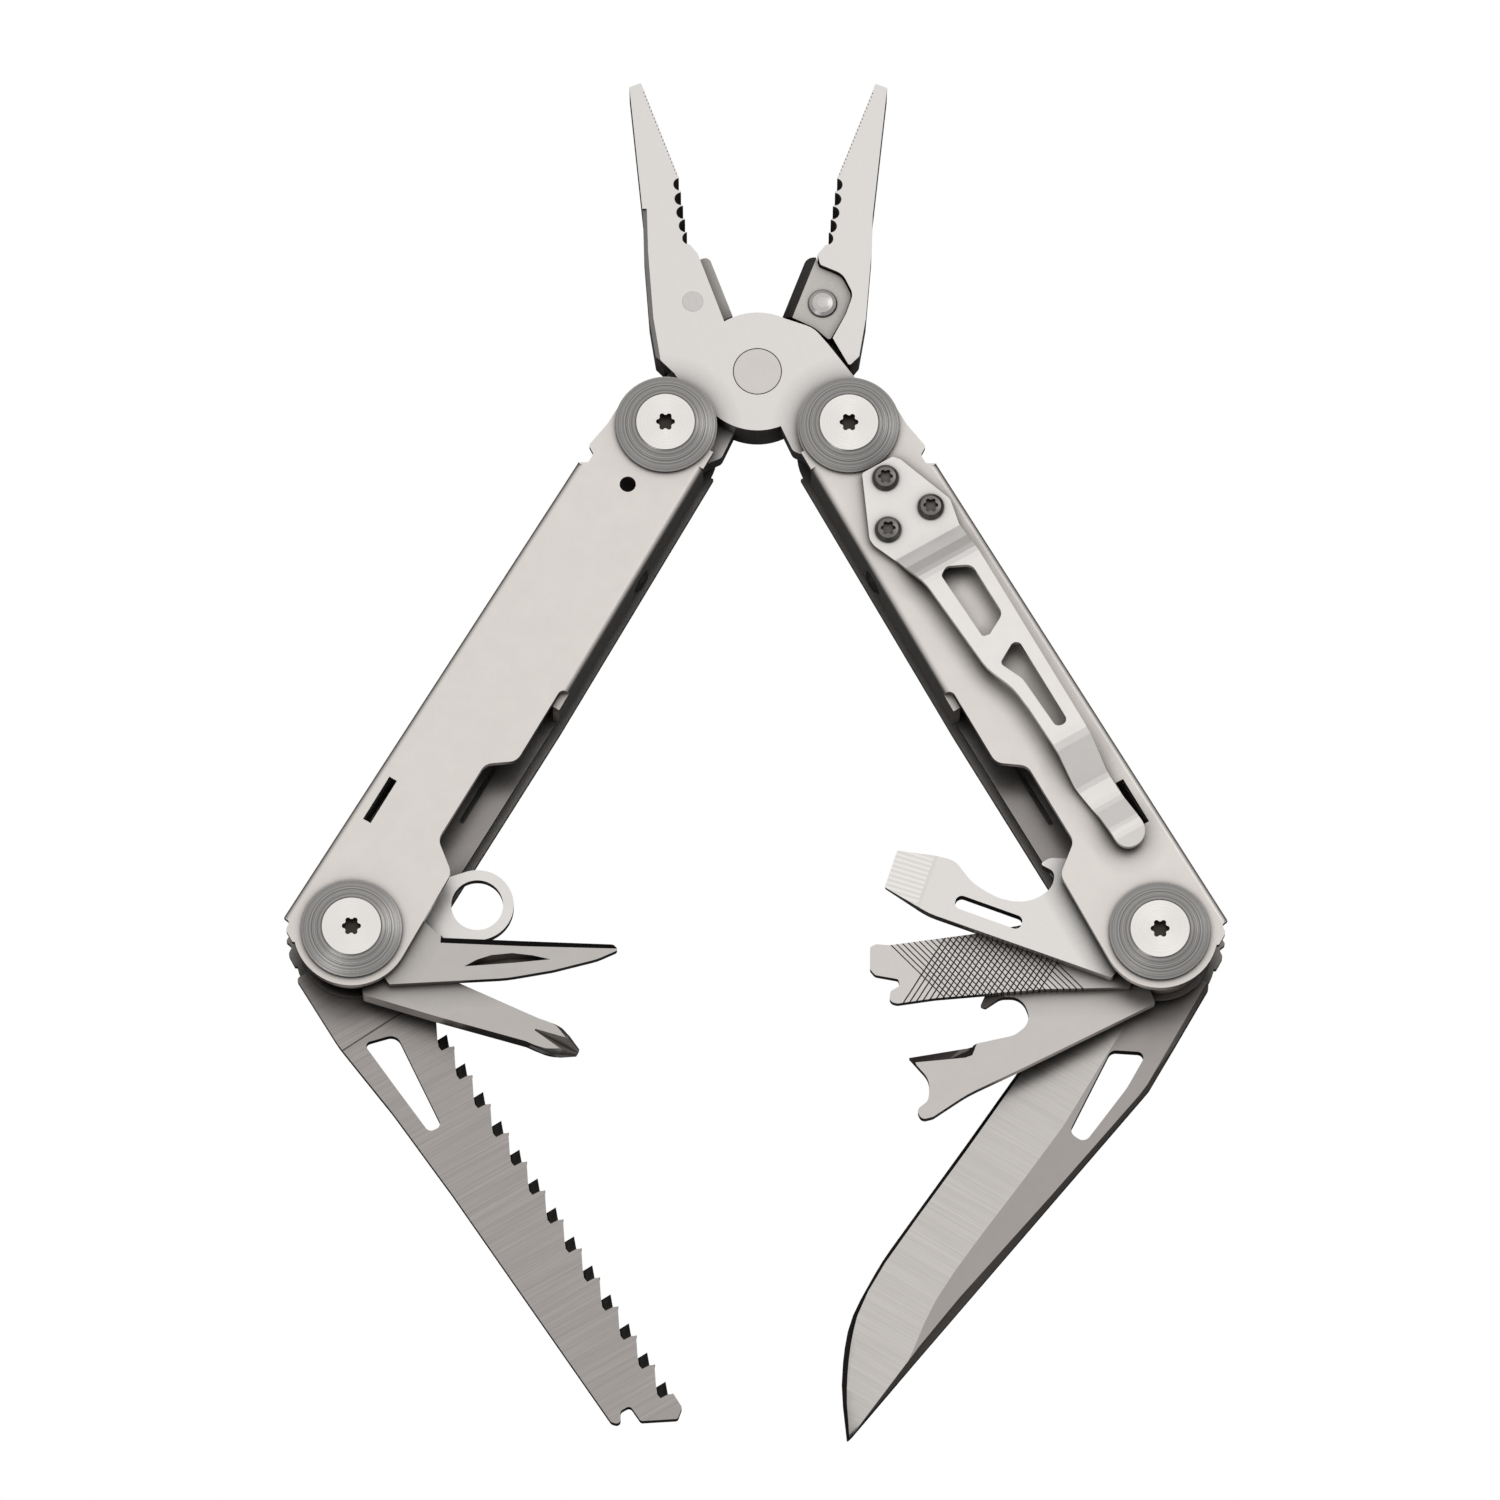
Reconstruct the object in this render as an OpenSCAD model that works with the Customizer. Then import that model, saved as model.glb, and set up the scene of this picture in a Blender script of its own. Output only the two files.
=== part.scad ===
// Folding pocket multi tool with everything opened out.
// The tool lies flat: X across, Y along the plier nose, Z up through its thickness.
// The origin is the plier joint's axis at the level of the rear bolt heads.

/* [Plier head] */
// Half of the angle between the opened jaws, in degrees
jaw_open = 20.9; // [15:0.1:22]
// Distance from the plier joint to the tip of the nose
nose_length = 48.5; // [46:0.1:50]
// Radius of the round hub at the plier joint
hub_r = 9.2; // [8.8:0.1:9.4]
// Radius of the plier joint's rivet
rivet_r = 3.55; // [3.2:0.05:4]

/* [Handles] */
// Distance between the two joints of a handle
handle_span = 90; // [89:0.1:91]
// Distance from the plier joint to a handle's upper joint
tang_reach = 16.2; // [16:0.1:16.6]
// Angle of each opened handle from straight down, in degrees
handle_splay = 30.3; // [29:0.1:32]
// Radius of the shell around the lower joint
shell_r = 8.5; // [8.3:0.1:8.8]
// Thickness of the sheet that the shells are pressed from
sheet = 1.2; // [1:0.05:1.3]
// Radius of the bolt heads on the joints
bolt_head_r = 7.35; // [7:0.05:7.4]

/* [Tools] */
// Radius of the axle that the tools turn on
axle_r = 3; // [2.8:0.05:3.1]
// Radial running clearance of every tool on its axle
running_gap = 0.05; // [0.02:0.01:0.09]
// Angle of the awl from straight across, in degrees
awl_angle = -3.4; // [-5:0.1:-2]
// Angle of the crosshead driver
phillips_angle = -26.3; // [-28:0.1:-25]
// Angle of the wood saw
saw_angle = -59.7; // [-61:0.1:-58]
// Angle of the lanyard ring
ring_angle = 17.3; // [16:0.1:19]
// Angle of the flat driver
flat_angle = 19.2; // [18:0.1:21]
// Angle of the file
file_angle = -1.3; // [-3:0.1:0]
// Angle of the can opener
can_angle = -25; // [-27:0.1:-24]
// Angle of the knife blade
knife_angle = -58.4; // [-60:0.1:-57]

/* [Hidden] */
$fn = 64;

// Levels of the stack, from the rear bolt heads up to the front ones
rear_plate_z = 1.6;
knife_z = [2.9, 4.8];
saw_z = [4.9, 6.4];
liner_z = [6.5, 7.4];
ring_z = [7.5, 9.1];
phillips_z = [9.3, 12.65];
awl_z = [12.75, 14.15];
can_z = [7.5, 9.05];
file_z = [9.15, 10.5];
flat_z = [10.6, 12.65];
washer_z = [12.7, 14.15];
front_plate_z = 14.25;
front_head_z = front_plate_z + sheet;
front_head_h = 1.8;

// The head is a half lap: the front jaw's hub lies over the rear jaw's hub
head_z = [7.5, 14.15];
lap_z = (head_z[0] + head_z[1]) / 2;
lap_gap = 0.1;
// Radial gap around the shanks that the plates and liners sit on, and overrun of every cut
fit_gap = 0.02;
cut = 1;
eye_r = 6.9;
eye_angle = -54.3;

// Upper joints, and lower joints of the handles
top_pivot = tang_reach * [-cos(jaw_open + eye_angle), sin(jaw_open + eye_angle)];
low_pivot = top_pivot - handle_span * [sin(handle_splay), cos(handle_splay)];
handle_angle = 90 - handle_splay;

// ---- helpers -------------------------------------------------------------------------------

function unit(v) = v / norm(v);

// Arc of radius r that rounds the corner b between the points a and c
function corner_arc(a, b, c, r) =
    let(
        to_a = unit(a - b),
        to_c = unit(c - b),
        half = acos(to_a * to_c) / 2,
        centre = b + unit(to_a + to_c) * r / sin(half),
        from = b + to_a * r / tan(half) - centre,
        to = b + to_c * r / tan(half) - centre,
        start = atan2(from.y, from.x),
        sweep = (atan2(to.y, to.x) - start + 540) % 360 - 180,
        steps = max(2, ceil(abs(sweep) / 15))
    )
    [for (i = [0:steps]) centre + r * [cos(start + sweep * i / steps), sin(start + sweep * i / steps)]];

// Outline through the points [x, y, corner radius]
function rounded(path) =
    let(n = len(path), flat = [for (p = path) [p.x, p.y]])
    [for (i = [0:n - 1]) each
        path[i][2] == 0 ? [flat[i]]
        : corner_arc(flat[(i + n - 1) % n], flat[i], flat[(i + 1) % n], path[i][2])];

module slab(z) {
    translate([0, 0, z[0]])
        linear_extrude(z[1] - z[0])
            children();
}

module left_handle_place() {
    translate([low_pivot.x, low_pivot.y, 0])
        rotate(handle_angle)
            children();
}

module right_handle_place() {
    mirror([1, 0, 0])
        left_handle_place()
            children();
}

module left_tool_place(angle) {
    translate([low_pivot.x, low_pivot.y, 0])
        rotate(angle)
            children();
}

module right_tool_place(angle) {
    mirror([1, 0, 0])
        left_tool_place(angle)
            children();
}

// Round hole right through the levels z
module bore(z, r) {
    translate([0, 0, z[0] - cut])
        cylinder(r = r, h = z[1] - z[0] + 2 * cut);
}

module axle_hole(z) {
    bore(z, axle_r + running_gap);
}

// ---- plier head ----------------------------------------------------------------------------
// The front jaw is drawn closed, with the plier joint at the origin, its nose towards +Y on the
// -X side of the centre line and its tang towards the lower right. The rear jaw is the same part
// turned over about Y, so its cutter faces the front.

tooth_pitch = 0.62;
tooth_depth = 0.3;
fine_teeth = [33, 47];
scallop_y = [31.5, 29.3, 27.2, 25.1, 23.1];
scallop_x = [0.75, 1.4, 1.9, 2.3, 2.5];
scallop_r = 1;
hub_gap = 0.3;
cutter_z = [8.3, 11.9];
cutter_bevel = [1.7, 1.9];
cutter_screw_at = [-5.1, 13.6];
cutter_screw_r = 2.2;
cutter_shank_r = 1.55;

nose_back = [
    [-2, nose_length, 0], [-7.2, 28.9, 0], [-9.1, 23.4, 0], [-12, 13.5, 0], [-13.2, 7.6, 0.4]
];
back_chamfer = 0.6;
nose_front = [
    [-1.75, 20.4, 0.3], [-2.3, 22, 0.3], [-2.2, 23.4, 0], [-0.15, 32.6, 0], [-0.15, nose_length, 0.15]
];
// The nose's root is whole on the lapped side, down to the other jaw's eye. It is cut back on the
// other side, where it stops against the other jaw's tang
whole_root = [
    [-11.6, 4.1, 0.3], [-11.2, 2.3, 0], [-9.9, 0.7, 0], [-9.2, -0.6, 0], [-1.9, 0, 0]
];
cut_root = [[-12.35, 5.7, 0.3], [-8.5, 8.9, 0], [-1.9, 9.9, 0]];
cutter_pocket = [
    [2, 20.3, 0], [-1.7, 20.3, 0.3], [-2.7, 18.95, 0.5], [-6.3, 18.8, 2.5], [-8.9, 16.4, 2],
    [-9, 13, 0], [-8.3, 7, 0], [2, 7, 0]
];
cutter_outline = [
    [-0.1, 20.1, 0.9], [-1.55, 20.1, 0.3], [-2.55, 18.75, 0.5], [-6.2, 18.6, 2.4], [-8.7, 16.3, 1.9],
    [-8.8, 13, 0], [-8.15, 8.6, 0.4], [-5.4, 9.65, 4], [-0.1, 10.1, 0]
];
// The tang swells beside the hub and has a corner on its inner side, where the jaws meet closed
tang_swell = [
    [0, 0, 0], [0.2, -9.1, 0], [0.5, -13.4, 1], [4, -17, 0], [9.45, -13.16, 0], [14.2, -9.6, 1],
    [11.3, 0.2, 4], [10.2, 3.4, 4], [6, 6.9, 0]
];

module nose_2d(root) {
    difference() {
        polygon(rounded(concat(nose_back, root, nose_front)));
        for (y = [fine_teeth[0]:tooth_pitch:fine_teeth[1]])
            polygon([[0.1, y], [-0.15 - tooth_depth, y + 0.4 * tooth_pitch], [0.1, y + 0.9 * tooth_pitch]]);
        for (i = [0:len(scallop_y) - 1])
            translate([0.4 - scallop_x[i], scallop_y[i]])
                circle(scallop_r);
    }
}

module eye_2d() {
    translate(tang_reach * [cos(eye_angle), sin(eye_angle)])
        circle(eye_r);
}

// Rounds the top edge from a to b at the level z
module edge_round(a, b, z, radius) {
    translate([a.x, a.y, z])
        rotate(atan2(b.y - a.y, b.x - a.x))
            rotate([90, 0, 90])
                linear_extrude(norm([b.x - a.x, b.y - a.y]))
                    translate([-radius, -radius])
                        difference() {
                            square(radius + cut);
                            circle(radius);
                        }
}

// Cuts a chamfer along the top edge from a to b at the level z
module edge_chamfer(a, b, z, size) {
    translate([a.x, a.y, z])
        rotate(atan2(b.y - a.y, b.x - a.x))
            rotate([90, 0, 90])
                translate([0, 0, -cut])
                    linear_extrude(norm([b.x - a.x, b.y - a.y]) + 2 * cut)
                        polygon([[cut, cut], [cut, -size - cut], [-size - cut, cut]]);
}

module jaw() {
    difference() {
        union() {
            slab([lap_z + lap_gap / 2, head_z[1]]) {
                circle(hub_r);
                eye_2d();
                polygon(rounded(tang_swell));
                nose_2d(whole_root);
            }
            slab([head_z[0], lap_z + lap_gap / 2])
                difference() {
                    union() {
                        eye_2d();
                        nose_2d(cut_root);
                    }
                    circle(hub_r + hub_gap);
                }
        }
        slab([head_z[0] - cut, cutter_z[1] + lap_gap / 2])
            difference() {
                polygon(rounded(cutter_pocket));
                circle(hub_r);
            }
        for (i = [0:len(nose_back) - 2])
            edge_chamfer(nose_back[i + 1], nose_back[i], head_z[1], back_chamfer);
        rotate(eye_angle)
            translate([tang_reach, 0])
                axle_hole(head_z);
        bore(head_z, rivet_r + running_gap);
        translate([cutter_screw_at.x, cutter_screw_at.y])
            bore(head_z, cutter_shank_r + fit_gap);
    }
}

module cutter() {
    difference() {
        slab(cutter_z)
            difference() {
                polygon(rounded(cutter_outline));
                circle(hub_r + hub_gap);
            }
        // the cutting edge is ground from the open side
        translate([0, 30, cutter_z[0]])
            rotate([90, 0, 0])
                linear_extrude(30)
                    polygon([
                        [-cutter_bevel[0], 0], [-cutter_bevel[0], -1], [1, -1], [1, cutter_bevel[1]],
                        [-0.1, cutter_bevel[1]]
                    ]);
        translate([cutter_screw_at.x, cutter_screw_at.y])
            bore(cutter_z, cutter_shank_r + fit_gap);
    }
}

// The domed head lies in the open side, and the shank's end is flush with the closed side
module cutter_screw() {
    translate([cutter_screw_at.x, cutter_screw_at.y, 0]) {
        translate([0, 0, cutter_z[0]])
            cylinder(r = cutter_shank_r, h = head_z[1] - cutter_z[0]);
        translate([0, 0, head_z[0]])
            rotate_extrude()
                polygon([
                    [0, 0.05], [0.8, 0.1], [1.5, 0.27], [2, 0.52], [cutter_screw_r, 0.75],
                    [cutter_screw_r, cutter_z[0] - head_z[0]], [0, cutter_z[0] - head_z[0]]
                ]);
    }
}

module front_jaw_place() {
    rotate(jaw_open)
        children();
}

module back_jaw_place() {
    rotate(-jaw_open)
        translate([0, 0, head_z[0] + head_z[1]])
            rotate([0, 180, 0])
                children();
}

module front_jaw() {
    color("gainsboro")
        front_jaw_place()
            jaw();
}

module back_jaw() {
    color("lightgray")
        back_jaw_place()
            jaw();
}

module jaw_rivet() {
    color("silver")
        translate([0, 0, head_z[0]])
            cylinder(r = rivet_r, h = head_z[1] - head_z[0]);
}

module left_cutter() {
    color("darkgray")
        front_jaw_place()
            cutter();
}

module right_cutter() {
    color("darkgray")
        back_jaw_place()
            cutter();
}

module left_cutter_screw() {
    color("silver")
        front_jaw_place()
            cutter_screw();
}

module right_cutter_screw() {
    color("silver")
        back_jaw_place()
            cutter_screw();
}

// ---- handle pieces, drawn with the lower joint at the origin and the upper one on +X ---------
// +Y is the outer side, which the palm holds, and -Y the inner side, where the tools come out.

outer_edge = [9.6, 8.3];
outer_span = [-3.4, 78.5];
inner_edge = [-8.75, -8.2];
flange_span = [44.5, 87];
web_span = [6, 28];
slot_x = [15.3, 22.8];
slot_y = 6.6;
slot_w = 1.3;
flange_t = 1.1;
spring_t = 0.7;
hole_at = [79.3, 0.15];
hole_r = 1.2;
upper_r = 7.6;
liner_r = [7.9, 7];
low_washer_r = 6.5;
upper_washer_r = 5.5;

function outer_y(x) = outer_edge[0]
    + (outer_edge[1] - outer_edge[0]) * (x - outer_span[0]) / (outer_span[1] - outer_span[0]);

function inner_y(x) = inner_edge[0]
    + (inner_edge[1] - inner_edge[0]) * (x - flange_span[0]) / (flange_span[1] - flange_span[0]);

front_outline = [
    [outer_span[0], outer_edge[0], 0.3], [outer_span[1], outer_edge[1], 0.4],
    [79.3, 6.9, 0.5], [80.8, 6.9, 0.5], [81.6, 8.2, 0.5], [86, 7.5, 4], [90, 7.5, 0],
    [handle_span, inner_y(handle_span), 0], [47.4, inner_y(47.4), 0], [47, -7.5, 1],
    [34.3, -7.6, 2], [31.6, -3.8, 2], [18.2, -3.8, 2], [14.8, -8.1, 2], [0, -shell_r, 0],
    [-3, 0, 0], [-6, 6.5, 0], [-4.9, 8.3, 0.8], [-3.6, 8.4, 0.5]
];
back_outline = [
    [outer_span[0], outer_edge[0], 0.3], [outer_span[1], outer_edge[1], 0.4],
    [79.3, 6.9, 0.5], [80.8, 6.9, 0.5], [81.6, 8.2, 0.5], [86, 7.5, 4], [90, 7.5, 0],
    [handle_span, inner_y(handle_span), 0], [44.5, inner_y(44.5), 0], [14.5, -shell_r, 0],
    [0, -shell_r, 0], [-3, 0, 0], [-6, 6.5, 0], [-4.9, 8.3, 0.8], [-3.6, 8.4, 0.5]
];
lock_slit = [[24, -4.4, 0.38], [70, -4.4, 0.38], [70, -3.6, 0.38], [24, -3.6, 0.38]];

module axle_seats() {
    for (x = [0, handle_span])
        translate([x, 0])
            circle(axle_r + fit_gap);
}

module plate_2d(outline) {
    difference() {
        union() {
            polygon(rounded(outline));
            circle(shell_r);
            translate([handle_span, 0])
                circle(upper_r);
        }
        axle_seats();
        translate([slot_x[0], slot_y - slot_w / 2])
            square([slot_x[1] - slot_x[0], slot_w]);
    }
}

module strip(x, y, depth, z) {
    slab(z)
        polygon([[x[0], y[0]], [x[1], y[1]], [x[1], y[1] + depth], [x[0], y[0] + depth]]);
}

bend_r = 1;

module front_shell(with_hole) {
    difference() {
        union() {
            slab([front_plate_z, front_plate_z + sheet])
                plate_2d(front_outline);
            strip(flange_span, inner_edge, flange_t, [head_z[0], front_plate_z]);
            strip(web_span, [outer_y(web_span[0]) - sheet, outer_y(web_span[1]) - sheet], sheet,
                [liner_z[1] + 0.1, front_plate_z]);
        }
        if (with_hole)
            translate(hole_at)
                bore([front_plate_z, front_head_z], hole_r);
        rivet_hole();
        outer_bend(front_plate_z + sheet);
        edge_round(
            [flange_span[1], inner_edge[1]], [flange_span[0], inner_edge[0]], front_plate_z + sheet, bend_r
        );
    }
}

// The rounding of the fold along a shell's outer edge, whose plate faces up at the level z
module outer_bend(z) {
    edge_round([outer_span[0], outer_edge[0]], [outer_span[1], outer_edge[1]], z, bend_r);
}

module back_shell() {
    difference() {
        union() {
            slab([rear_plate_z, rear_plate_z + sheet])
                plate_2d(back_outline);
            strip(web_span, [outer_y(web_span[0]) - sheet, outer_y(web_span[1]) - sheet], sheet,
                [rear_plate_z + sheet, liner_z[0] - 0.1]);
        }
        mirror([0, 0, 1])
            outer_bend(-rear_plate_z);
    }
}

module liner() {
    slab(liner_z)
        difference() {
            union() {
                circle(liner_r[0]);
                translate([handle_span, 0])
                    circle(liner_r[1]);
                polygon([
                    [0, -liner_r[0]], [44, -8.2], [handle_span, -liner_r[1]], [handle_span, liner_r[1]],
                    [0, liner_r[0]]
                ]);
            }
            axle_seats();
            polygon(rounded(lock_slit));
        }
}

rivet_x = 68.5;
rivet_z = 10.9;
spring_rivet_r = 0.9;
spring_span = [46, 84];
spring_z = [8, 13.8];

module rivet_hole() {
    translate([rivet_x, -12, rivet_z])
        rotate([-90, 0, 0])
            cylinder(r = spring_rivet_r + fit_gap, h = 8);
}

module leaf_spring() {
    difference() {
        strip(spring_span, [for (x = spring_span) inner_y(x) + flange_t], spring_t, spring_z);
        rivet_hole();
    }
}

module spring_rivet() {
    translate([rivet_x, inner_y(rivet_x) - 0.5, rivet_z])
        rotate([-90, 0, 0]) {
            cylinder(r1 = 1.2, r2 = 1.9, h = 0.46);
            cylinder(r = spring_rivet_r, h = 2.3);
        }
}

// Flanged axle with its head at the rear, bored for the bolt
bolt_shank_r = 1.7;

module axle(x) {
    translate([x, 0, 0])
        difference() {
            union() {
                cylinder(r1 = bolt_head_r - 1.4, r2 = bolt_head_r, h = rear_plate_z);
                cylinder(r = axle_r, h = front_head_z);
            }
            translate([0, 0, 3])
                cylinder(r = bolt_shank_r, h = front_head_z);
        }
}

torx_r = 1.4;
torx_depth = 1.3;

module torx_2d(r) {
    circle(r * 0.76);
    for (i = [0:5])
        rotate(60 * i)
            translate([r * 0.72, 0])
                circle(r * 0.28);
}

// Bolt with a wide coned head, a flat middle and a six-lobed socket
module bolt(x) {
    translate([x, 0, front_head_z])
        difference() {
            union() {
                rotate_extrude()
                    polygon([
                        [0, 0], [bolt_head_r, 0], [bolt_head_r, 0.5], [4.5, 1.65],
                        [4.3, front_head_h], [0, front_head_h]
                    ]);
                translate([0, 0, -8])
                    cylinder(r = bolt_shank_r - fit_gap, h = 9);
            }
            translate([0, 0, front_head_h - torx_depth])
                linear_extrude(torx_depth + 1)
                    torx_2d(torx_r);
        }
}

module washer(x, z, r) {
    slab(z)
        translate([x, 0])
            difference() {
                circle(r);
                circle(axle_r + running_gap);
            }
}

module left_front_shell() {
    color("lightgray")
        left_handle_place()
            front_shell(true);
}

module left_back_shell() {
    color("lightgray")
        left_handle_place()
            back_shell();
}

module left_liner() {
    color("silver")
        left_handle_place()
            liner();
}

module left_leaf_spring() {
    color("darkgray")
        left_handle_place()
            leaf_spring();
}

module left_spring_rivet() {
    color("silver")
        left_handle_place()
            spring_rivet();
}

module left_upper_axle() {
    color("gray")
        left_handle_place()
            axle(handle_span);
}

module left_upper_bolt() {
    color("white")
        left_handle_place()
            bolt(handle_span);
}

module left_upper_washer() {
    color("silver")
        left_handle_place()
            washer(handle_span, [rear_plate_z + sheet, liner_z[0]], upper_washer_r);
}

module left_lower_axle() {
    color("gray")
        left_handle_place()
            axle(0);
}

module left_lower_bolt() {
    color("white")
        left_handle_place()
            bolt(0);
}

module left_low_washer() {
    color("silver")
        left_handle_place()
            washer(0, [rear_plate_z + sheet, saw_z[0] - 0.1], low_washer_r);
}

module right_front_shell() {
    color("lightgray")
        right_handle_place()
            difference() {
                front_shell(false);
                clip_screw_holes();
            }
}

module right_back_shell() {
    color("lightgray")
        right_handle_place()
            back_shell();
}

module right_liner() {
    color("silver")
        right_handle_place()
            liner();
}

module right_leaf_spring() {
    color("darkgray")
        right_handle_place()
            leaf_spring();
}

module right_spring_rivet() {
    color("silver")
        right_handle_place()
            spring_rivet();
}

module right_upper_axle() {
    color("gray")
        right_handle_place()
            axle(handle_span);
}

module right_upper_bolt() {
    color("white")
        right_handle_place()
            bolt(handle_span);
}

module right_upper_washer() {
    color("silver")
        right_handle_place()
            washer(handle_span, [rear_plate_z + sheet, liner_z[0]], upper_washer_r);
}

module right_lower_axle() {
    color("gray")
        right_handle_place()
            axle(0);
}

module right_lower_bolt() {
    color("white")
        right_handle_place()
            bolt(0);
}

module right_low_washers() {
    color("silver")
        right_handle_place() {
            washer(0, [knife_z[1] + 0.1, liner_z[0]], low_washer_r);
            washer(0, washer_z, low_washer_r);
        }
}

// ---- pocket clip ---------------------------------------------------------------------------

clip_t = 1;
clip_rise = 2.6;
clip_screw_at = [[72.8, 3.9], [72.9, -3.3], [80, 0.4]];
clip_screw_r = 1.95;
clip_shank_r = 1.05;
clip_outline = [
    [12.6, 6, 2.4], [20, 5.7, 4], [25, 5.6, 4], [30, 6.1, 4], [68.5, 6.2, 2], [72.5, 7, 1.5],
    [81.4, 3.8, 1], [82.4, 3, 0.5], [82.4, -2.2, 0.5], [73, -6.4, 1.5], [71.8, -6.3, 1],
    [67.8, -4.6, 2], [62, -3.1, 10], [46.5, -2, 8], [42, -0.2, 8], [38, 0.2, 0], [30, 0.5, 4],
    [25, 0.2, 4], [19, 1, 4], [12.6, 1.1, 2.2]
];
clip_window_1 = [[52.6, 4.3, 1.5], [61.4, 4.2, 1.5], [63.1, 0.8, 1], [62.2, -0.6, 0.7], [51, -0.1, 0.5],
    [50.8, 1, 0.5]];
clip_window_2 = [[33.4, 4.2, 0.9], [48.6, 4.2, 0.9], [46.2, 0, 0.7], [42.5, 1.7, 3], [33.6, 2.2, 0.9]];

module clip_screw_holes() {
    for (p = clip_screw_at)
        translate(p)
            bore([front_plate_z, front_head_z], clip_shank_r + fit_gap);
}

// Side view of the clip as [x, height above the shell, bend radius]: the screwed base, a rise, the
// level arm, the dip that touches the shell near its end, and the tip that turns up and over.
clip_line = rounded([
    [84, 0, 0], [68.3, 0, 0.6], [66.2, 0.9, 1.2], [63.4, clip_rise, 5], [31.5, clip_rise, 7], [23.8, 0, 4.5],
    [20.6, 0.1, 5], [15.6, 2, 3.5], [11.8, 1.1, 0]
]);

module pocket_clip() {
    color("silver")
        right_handle_place()
            difference() {
                intersection() {
                    slab([front_head_z - 1, front_head_z + 5])
                        difference() {
                            polygon(rounded(clip_outline));
                            polygon(rounded(clip_window_1));
                            polygon(rounded(clip_window_2));
                        }
                    translate([0, 10, front_head_z])
                        rotate([90, 0, 0])
                            linear_extrude(20)
                                polygon([
                                    for (p = clip_line) p,
                                    for (i = [len(clip_line) - 1:-1:0])
                                        [clip_line[i].x, clip_line[i].y + clip_t]
                                ]);
                }
                for (p = clip_screw_at)
                    translate(p)
                        bore([front_head_z, front_head_z + clip_t], clip_shank_r + fit_gap);
            }
}

module clip_screws() {
    color("white")
        right_handle_place()
            for (p = clip_screw_at)
                translate([p.x, p.y, 0])
                    difference() {
                        union() {
                            translate([0, 0, front_plate_z])
                                cylinder(r = clip_shank_r, h = sheet + clip_t);
                            translate([0, 0, front_head_z + clip_t])
                                rotate_extrude()
                                    polygon([
                                        [0, 0], [clip_screw_r, 0], [clip_screw_r, 0.35],
                                        [1.5, 0.8], [0.8, 1], [0, 1]
                                    ]);
                        }
                        translate([0, 0, front_head_z + clip_t + 0.2])
                            linear_extrude(2)
                                torx_2d(1.1);
                    }
}

// ---- tools, drawn with their joint at the origin and their tip towards +X ----------------------

tang_r = 7.2;

module tool_blank(z, outline) {
    difference() {
        slab(z) {
            circle(tang_r);
            polygon(rounded(outline));
        }
        axle_hole(z);
    }
}

module awl() {
    color("silver")
        left_tool_place(awl_angle)
            tool_blank(awl_z, [
                [0, 0, 0], [4, -5, 0], [6, -7.6, 0.3], [23, -5.6, 20], [29.6, -4, 10], [39, -0.3, 0.3],
                [38, 0.3, 0.4], [13.2, -0.4, 0], [12.3, 0.2, 0.5], [9, 3.6, 2], [1.5, 6.9, 0]
            ]);
}

ring_reach = 19;
ring_r = 5.35;
ring_hole_r = 3.8;

module lanyard_ring() {
    color("silver")
        left_tool_place(ring_angle)
            difference() {
                slab(ring_z) {
                    circle(5.6);
                    translate([ring_reach, 0])
                        circle(ring_r);
                    polygon([[0, -5], [ring_reach, -ring_r], [ring_reach, ring_r], [0, 5]]);
                }
                translate([ring_reach, 0])
                    bore(ring_z, ring_hole_r);
                axle_hole(ring_z);
            }
}

phillips_axis_y = -0.95;
// The point's profile as [radius, place along the rod]
phillips_point = [[4, 30.5], [4, 45], [0, 45], [0, 37.4], [0.6, 37.3], [1.8, 35.2], [2.5, 33], [2.8, 30.5]];
flute = 1.3;

// What the point's taper and its four flutes take off the rod
module phillips_cut() {
    translate([0, phillips_axis_y, (phillips_z[0] + phillips_z[1]) / 2])
        rotate([0, 90, 0]) {
            rotate_extrude()
                polygon(phillips_point);
            for (i = [0:3])
                rotate(90 * i)
                    translate([2.45, 0, 30.5])
                        rotate([0, -10, 0])
                            rotate(45)
                                translate([-flute / 2, -flute / 2, 0])
                                    cube([flute, flute, 10]);
        }
}

module phillips_driver() {
    color("silver")
        left_tool_place(phillips_angle)
            difference() {
                tool_blank(phillips_z, [
                    [0, 0, 0], [4, -5, 0], [5.5, -7.4, 0.4], [17, -5.5, 10], [30, -3.1, 0], [34, -3, 1],
                    [37.4, -2.5, 0], [37.4, 0.6, 0], [34, 1.25, 1], [30, 0.8, 0], [15.5, 0.35, 3],
                    [8, 5.2, 3], [1.5, 6.9, 0]
                ]);
                phillips_cut();
            }
}

saw_pitch = 5.12;
saw_gaps = 13;
saw_first = [15.48, 5.1];
// The tooth line climbs by this much for each millimetre along the blade
saw_rise = 0.023;
// Between two long teeth the blade is cut right through round a short tooth, whose face is ground
// down
saw_gap = [[0, 0], [2.85, -1.4], [2.85, 0.2], [4.8, -0.5], [5.02, 0], [5.12, 2], [0, 2]];
short_tooth = [[2.8, -1.38], [4, -1.85], [4.75, -1.75], [4.85, 1], [2.8, 1]];
short_tooth_drop = 0.8;
// A scored line crosses the blade's root
score = [[11.7, 7.5], [11.95, 7.5], [13.2, -11], [12.95, -11]];
score_depth = 0.15;

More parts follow.
